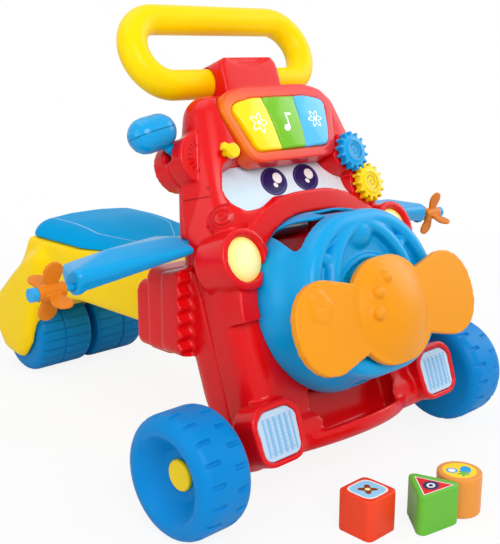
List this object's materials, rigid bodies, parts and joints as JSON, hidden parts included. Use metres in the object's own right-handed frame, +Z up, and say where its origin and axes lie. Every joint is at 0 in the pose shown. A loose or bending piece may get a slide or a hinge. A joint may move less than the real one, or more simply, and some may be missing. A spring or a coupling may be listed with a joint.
{
  "type": "ride-on aeroplane toy",
  "caption": "Push-along and ride-on aeroplane toy with leaning activity casing, sorter nose, propeller, wings, saddle body, loop handle, wheels, rollers and loose sorter blocks.",
  "frame": {"origin": "middle of the set's bounding box on the floor", "axes": "+Z up, the nose faces -Y, +X to the right of someone looking along +Y at the nose"},
  "size_m": [0.5748, 0.6839, 0.453],
  "materials": {
    "red_plastic": "glossy moulded",
    "lit_red_plastic": "glossy, lit from inside",
    "yellow_key": "translucent glossy",
    "green_key": "translucent glossy",
    "blue_key": "translucent glossy",
    "pale_panel": "glossy printed",
    "lens": "glossy ribbed",
    "cream_lens": "translucent glossy",
    "blue_plastic": "semi-gloss moulded",
    "orange_plastic": "semi-gloss moulded",
    "yellow_plastic": "semi-gloss moulded",
    "blue_wheel": "satin moulded",
    "steel": "drawn",
    "board": "plain",
    "green_plastic": "semi-gloss moulded"
  },
  "bodies": {
    "toy": {"front_shell": "red_plastic", "back_shell": "red_plastic", "key_console": "lit_red_plastic", "windscreen": "pale_panel", "nose_drum": "blue_plastic", "side_lamp_left": "cream_lens", "side_lamp_right": "cream_lens", "headlight_left": "lens", "headlight_right": "lens", "wing_left": "blue_plastic", "wing_right": "blue_plastic", "paddle_pin_left": "blue_plastic", "paddle_pin_right": "blue_plastic", "lever_pin": "steel", "gear_pins": "red_plastic", "handle": "yellow_plastic", "handle_clamp": "red_plastic", "front_axle": "steel", "rear_body": "yellow_plastic", "seat": "blue_plastic", "rear_axle": "steel", "battery_door": "red_plastic", "batteries": "steel", "circuit_board": "board", "speaker": "steel", "case_screws": "steel", "seat_screws": "steel"},
    "front_wheel_left": {"front_wheel_left": "blue_wheel", "hub_cap_left": "yellow_plastic"},
    "front_wheel_right": {"front_wheel_right": "blue_wheel", "hub_cap_right": "yellow_plastic"},
    "rear_roller_left": {"rear_roller_left": "blue_wheel"},
    "rear_roller_right": {"rear_roller_right": "blue_wheel"},
    "propeller": {"propeller": "orange_plastic", "propeller_shaft": "steel"},
    "paddle_left": {"wing_paddle_left": "orange_plastic"},
    "paddle_right": {"wing_paddle_right": "orange_plastic"},
    "gear_blue": {"gear_blue": "blue_plastic"},
    "gear_yellow": {"gear_yellow": "yellow_plastic"},
    "lever": {"lever": "blue_plastic"},
    "ignition_key": {"ignition_key": "yellow_plastic"},
    "key_yellow": {"key_yellow": "yellow_key"},
    "key_green": {"key_green": "green_key"},
    "key_blue": {"key_blue": "blue_key"},
    "block_square": {"block_square": "red_plastic"},
    "block_triangle": {"block_triangle": "green_plastic"},
    "block_round": {"block_round": "orange_plastic"}
  },
  "joints": [
    {"name": "front_wheel_left_spin", "type": "hinge", "parent": "toy", "child": "front_wheel_left", "pos_m": [-0.193, -0.182, 0.056], "axis": [1, 0, 0], "continuous": true},
    {"name": "front_wheel_right_spin", "type": "hinge", "parent": "toy", "child": "front_wheel_right", "pos_m": [0.193, -0.182, 0.056], "axis": [1, 0, 0], "continuous": true},
    {"name": "rear_roller_left_spin", "type": "hinge", "parent": "toy", "child": "rear_roller_left", "pos_m": [-0.043, 0.285, 0.047], "axis": [1, 0, 0], "continuous": true},
    {"name": "rear_roller_right_spin", "type": "hinge", "parent": "toy", "child": "rear_roller_right", "pos_m": [0.043, 0.285, 0.047], "axis": [1, 0, 0], "continuous": true},
    {"name": "propeller_spin", "type": "hinge", "parent": "toy", "child": "propeller", "pos_m": [0, -0.24418, 0.17614], "axis": [0, -0.9397, 0.342], "continuous": true},
    {"name": "paddle_left_spin", "type": "hinge", "parent": "toy", "child": "paddle_left", "pos_m": [-0.268, -0.096, 0.214], "axis": [1, 0, 0], "continuous": true},
    {"name": "paddle_right_spin", "type": "hinge", "parent": "toy", "child": "paddle_right", "pos_m": [0.268, -0.096, 0.214], "axis": [1, 0, 0], "continuous": true},
    {"name": "gear_blue_spin", "type": "hinge", "parent": "toy", "child": "gear_blue", "pos_m": [0.074, -0.12675, 0.3058], "axis": [0, -0.9397, 0.342], "continuous": true},
    {"name": "gear_yellow_spin", "type": "hinge", "parent": "toy", "child": "gear_yellow", "pos_m": [0.088, -0.13859, 0.27329], "axis": [0, -0.9397, 0.342], "continuous": true},
    {"name": "lever_swing", "type": "hinge", "parent": "toy", "child": "lever", "pos_m": [-0.1, -0.07617, 0.30442], "axis": [0, -0.9397, 0.342], "range_deg": [-12, 20]},
    {"name": "ignition_turn", "type": "hinge", "parent": "toy", "child": "ignition_key", "pos_m": [-0.086, -0.11914, 0.31793], "axis": [0, -0.9397, 0.342], "range_deg": [-40, 40]},
    {"name": "key_yellow_press", "type": "slide", "parent": "toy", "child": "key_yellow", "axis": [0, 0.891, -0.454], "range_m": [0, 0.0025], "stiffness_N_per_m": 300, "springref_m": -0.002},
    {"name": "key_green_press", "type": "slide", "parent": "toy", "child": "key_green", "axis": [0, 0.891, -0.454], "range_m": [0, 0.0025], "stiffness_N_per_m": 300, "springref_m": -0.002},
    {"name": "key_blue_press", "type": "slide", "parent": "toy", "child": "key_blue", "axis": [0, 0.891, -0.454], "range_m": [0, 0.0025], "stiffness_N_per_m": 300, "springref_m": -0.002},
    {"name": "block_square_lift", "type": "slide", "parent": "toy", "child": "block_square", "axis": [0, -0.8, 0.6], "range_m": [0, 0.15]},
    {"name": "block_triangle_lift", "type": "slide", "parent": "toy", "child": "block_triangle", "axis": [0, -0.8, 0.6], "range_m": [0, 0.15]},
    {"name": "block_round_lift", "type": "slide", "parent": "toy", "child": "block_round", "axis": [0, -0.8, 0.6], "range_m": [0, 0.15]}
  ],
  "couplings": [
    {"joint": "gear_yellow_spin", "follows": "gear_blue_spin", "ratio": -1}
  ]
}
